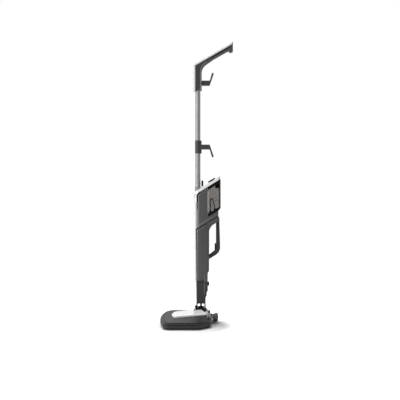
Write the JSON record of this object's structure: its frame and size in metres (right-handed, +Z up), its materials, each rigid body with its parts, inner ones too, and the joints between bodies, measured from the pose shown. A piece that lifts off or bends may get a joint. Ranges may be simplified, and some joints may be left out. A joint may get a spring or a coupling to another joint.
{
  "type": "upright floor cleaner",
  "caption": "Upright wet floor cleaner: flat pad head on a two-axis joint, slim body with clear tank and carry handle, tube with bent top handle and cord hooks.",
  "frame": {"origin": "on the floor under the tilt axis of the floor head, in the middle of its width", "axes": "+Z up, +X to the back of the machine towards the user, +Y across the head"},
  "size_m": [0.3031, 0.296, 1.1783],
  "materials": {
    "white_gloss": "smooth gloss white",
    "dark_body": "dark grey, satin",
    "dark_plastic": "fine moulded texture",
    "black_plastic": "fine moulded texture",
    "grey_plastic": "satin",
    "tube_metal": "satin light grey",
    "smoked_clear": "smoked clear plastic",
    "soft_insert": "soft touch",
    "rubber_black": "matt",
    "pad_fabric": "microfibre pile",
    "steel": "turned",
    "spring_steel": "drawn wire",
    "cast_aluminium": "die cast",
    "pump_plastic": "plain",
    "brass": "plain",
    "board_green": "solder mask"
  },
  "bodies": {
    "floor_head": {"base_plate": "dark_plastic", "mop_pad": "pad_fabric", "head_shell": "dark_plastic", "head_screws": "steel", "steam_manifold": "black_plastic", "head_cover": "white_gloss", "pivot_saddles": "black_plastic", "tilt_pins": "steel", "rear_bracket": "grey_plastic", "pedal_pin": "steel", "pedal_spring": "spring_steel"},
    "pedal": {"pedal": "grey_plastic"},
    "joint_ring": {"joint_ring": "black_plastic"},
    "neck": {"roll_pins": "steel", "neck_fork": "black_plastic", "neck_shell_left": "dark_plastic", "neck_shell_right": "dark_plastic", "steam_pipe": "brass", "socket_seal": "rubber_black", "release_spring": "spring_steel"},
    "head_release_button": {"head_release_button": "black_plastic"},
    "hand_unit": {"body_shell_left": "dark_body", "body_shell_right": "dark_body", "rear_shoulder": "dark_body", "body_screws": "steel", "cord_gland": "rubber_black", "body_spigot": "dark_plastic", "steam_nozzle": "brass", "boiler": "cast_aluminium", "pump": "pump_plastic", "carry_handle": "dark_plastic", "micro_switch": "black_plastic", "trigger_spring": "spring_steel", "upper_housing": "dark_body", "control_board": "board_green", "valve_seat": "black_plastic", "water_hose": "rubber_black", "front_spine": "white_gloss", "top_cover": "white_gloss", "tube_socket": "grey_plastic", "button_spring": "spring_steel", "latch_spring": "spring_steel"},
    "trigger": {"trigger": "black_plastic"},
    "tank": {"tank_shell": "smoked_clear", "tank_lid": "dark_plastic", "tank_back": "dark_plastic", "tank_outlet": "black_plastic", "hose_barbs": "black_plastic", "hose_loop": "rubber_black"},
    "tank_plug": {"tank_plug": "black_plastic"},
    "tank_latch": {"tank_latch": "dark_plastic"},
    "tube": {"tube": "tube_metal", "lower_hook": "dark_plastic", "handle_left": "dark_plastic", "handle_right": "dark_plastic", "handle_cover": "white_gloss", "grip_insert": "soft_insert", "end_cap": "dark_plastic"},
    "tube_release_button": {"tube_release_button": "dark_plastic"},
    "upper_hook": {"upper_hook": "dark_plastic"}
  },
  "joints": [
    {"name": "pedal_press", "type": "hinge", "parent": "floor_head", "child": "pedal", "pos_m": [0.046, 0, 0.021], "axis": [0, 1, 0], "range_deg": [0, 10], "stiffness_Nm_per_rad": 1, "deforming": ["pedal_spring"]},
    {"name": "tilt", "type": "hinge", "parent": "floor_head", "child": "joint_ring", "pos_m": [0, 0, 0.058], "axis": [0, 1, 0], "range_deg": [0, 65]},
    {"name": "roll", "type": "hinge", "parent": "joint_ring", "child": "neck", "pos_m": [0, 0, 0.058], "axis": [1, 0, 0], "range_deg": [-30, 30]},
    {"name": "head_release_press", "type": "slide", "parent": "neck", "child": "head_release_button", "axis": [-1, 0, 0], "range_m": [0, 0.0025], "stiffness_N_per_m": 800, "deforming": ["release_spring"]},
    {"name": "body_lift", "type": "slide", "parent": "neck", "child": "hand_unit", "axis": [0, 0, 1], "range_m": [0, 0.06]},
    {"name": "trigger_pull", "type": "slide", "parent": "hand_unit", "child": "trigger", "axis": [1, 0, 0], "range_m": [0, 0.004], "stiffness_N_per_m": 1000, "deforming": ["trigger_spring"]},
    {"name": "tank_slide", "type": "slide", "parent": "hand_unit", "child": "tank", "axis": [0.8526, 0, 0.5225], "range_m": [0, 0.06]},
    {"name": "plug_pull", "type": "slide", "parent": "tank", "child": "tank_plug", "axis": [1, 0, 0], "range_m": [0, 0.025]},
    {"name": "latch_slide", "type": "slide", "parent": "hand_unit", "child": "tank_latch", "axis": [0.8526, 0, 0.5225], "range_m": [0, 0.005], "stiffness_N_per_m": 600, "deforming": ["latch_spring"]},
    {"name": "tube_lift", "type": "slide", "parent": "hand_unit", "child": "tube", "axis": [0, 0, 1], "range_m": [0, 0.1]},
    {"name": "tube_release_press", "type": "slide", "parent": "hand_unit", "child": "tube_release_button", "axis": [-1, 0, 0], "range_m": [0, 0.0018], "stiffness_N_per_m": 1000, "deforming": ["button_spring"]},
    {"name": "hook_turn", "type": "hinge", "parent": "tube", "child": "upper_hook", "pos_m": [0.02, 0, 1.00513], "axis": [1, 0, 0], "range_deg": [0, 180]}
  ]
}
